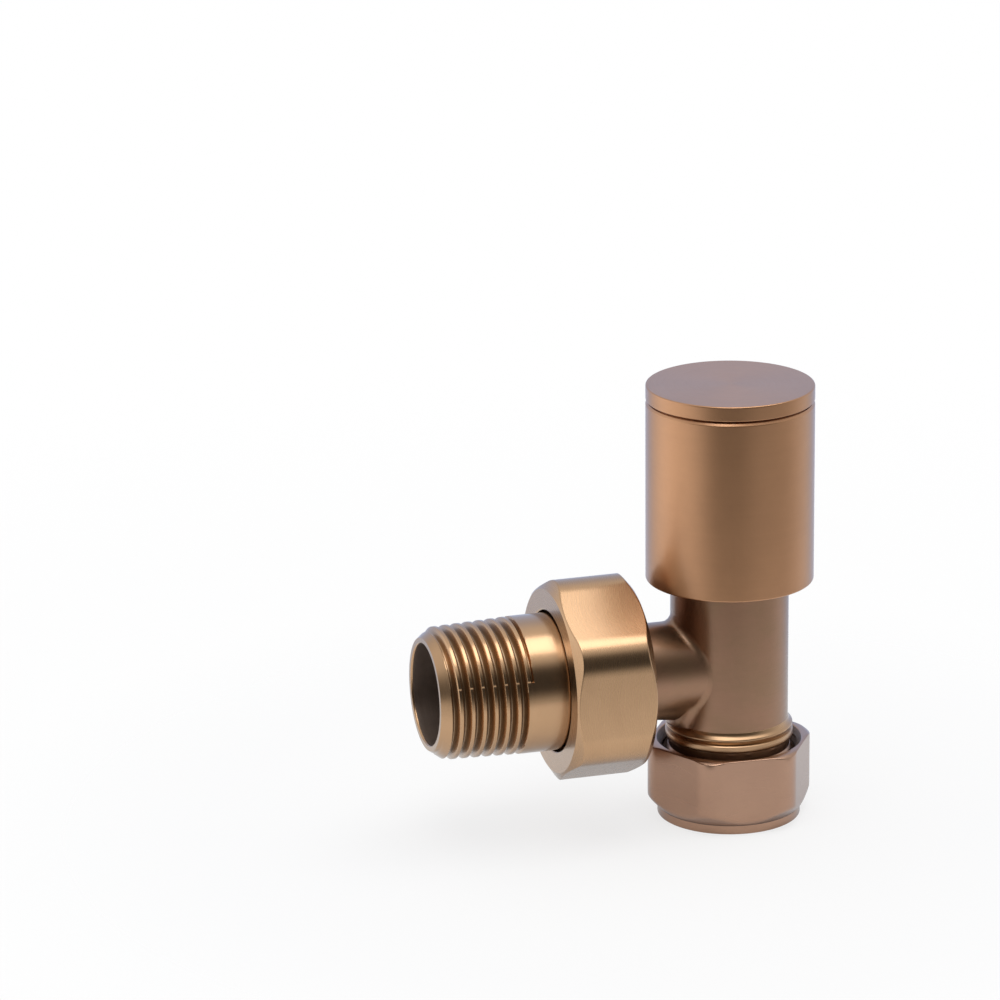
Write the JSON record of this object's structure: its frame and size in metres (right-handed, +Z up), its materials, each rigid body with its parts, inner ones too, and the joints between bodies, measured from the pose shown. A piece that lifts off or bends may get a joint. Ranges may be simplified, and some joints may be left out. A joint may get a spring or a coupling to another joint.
{
  "type": "angled radiator valve",
  "caption": "Angled radiator valve with a round hand wheel, a compression nut for the pipe below and a union nut with a threaded tail at the side.",
  "frame": {"origin": "on the pipe axis, at the foot of the compression nut", "axes": "+Z up along the pipe axis towards the hand wheel, -X out along the union tail"},
  "size_m": [0.0622, 0.0294, 0.0695],
  "materials": {
    "bronze_finish": "brushed bronze plating on brass",
    "raw_brass": "turned brass",
    "seal_rubber": "black rubber",
    "hub_plastic": "moulded plastic",
    "screw_steel": "zinc plated steel"
  },
  "bodies": {
    "valve": {"valve_body": "bronze_finish", "bonnet": "raw_brass", "bonnet_o_ring": "seal_rubber"},
    "clack": {"clack": "raw_brass", "clack_washer": "seal_rubber", "clack_screw": "raw_brass"},
    "handwheel": {"spindle": "raw_brass", "spindle_o_ring_lower": "seal_rubber", "spindle_o_ring_upper": "seal_rubber", "clack_pin": "screw_steel", "knob_sleeve": "bronze_finish", "knob_hub": "hub_plastic", "knob_cap": "bronze_finish", "knob_washer": "screw_steel", "knob_screw": "screw_steel"},
    "tail": {"union_tail": "bronze_finish", "union_o_ring": "seal_rubber"},
    "union_nut": {"union_nut": "bronze_finish"},
    "olive": {"compression_olive": "raw_brass"},
    "compression_nut": {"compression_nut": "bronze_finish"}
  },
  "joints": [
    {"name": "clack_lift", "type": "slide", "parent": "valve", "child": "clack", "axis": [0, 0, 1], "range_m": [0, 0.00375]},
    {"name": "handwheel_turn", "type": "hinge", "parent": "clack", "child": "handwheel", "pos_m": [0, 0, 0], "axis": [0, 0, 1], "range_deg": [0, 1080]},
    {"name": "tail_slide", "type": "slide", "parent": "valve", "child": "tail", "axis": [-1, 0, 0], "range_m": [0, 0.00635]},
    {"name": "union_nut_turn", "type": "hinge", "parent": "tail", "child": "union_nut", "pos_m": [0, 0, 0.02454], "axis": [-1, 0, 0], "range_deg": [0, 1260]},
    {"name": "olive_slide", "type": "slide", "parent": "valve", "child": "olive", "axis": [0, 0, -1], "range_m": [0, 0.00454]},
    {"name": "compression_nut_turn", "type": "hinge", "parent": "olive", "child": "compression_nut", "pos_m": [0, 0, 0], "axis": [0, 0, -1], "range_deg": [0, 900]}
  ],
  "couplings": [
    {"joint": "clack_lift", "follows": "handwheel_turn", "m_per_rad": 0.00019894},
    {"joint": "tail_slide", "follows": "union_nut_turn", "m_per_rad": 0.00028871},
    {"joint": "olive_slide", "follows": "compression_nut_turn", "m_per_rad": 0.00028871}
  ]
}
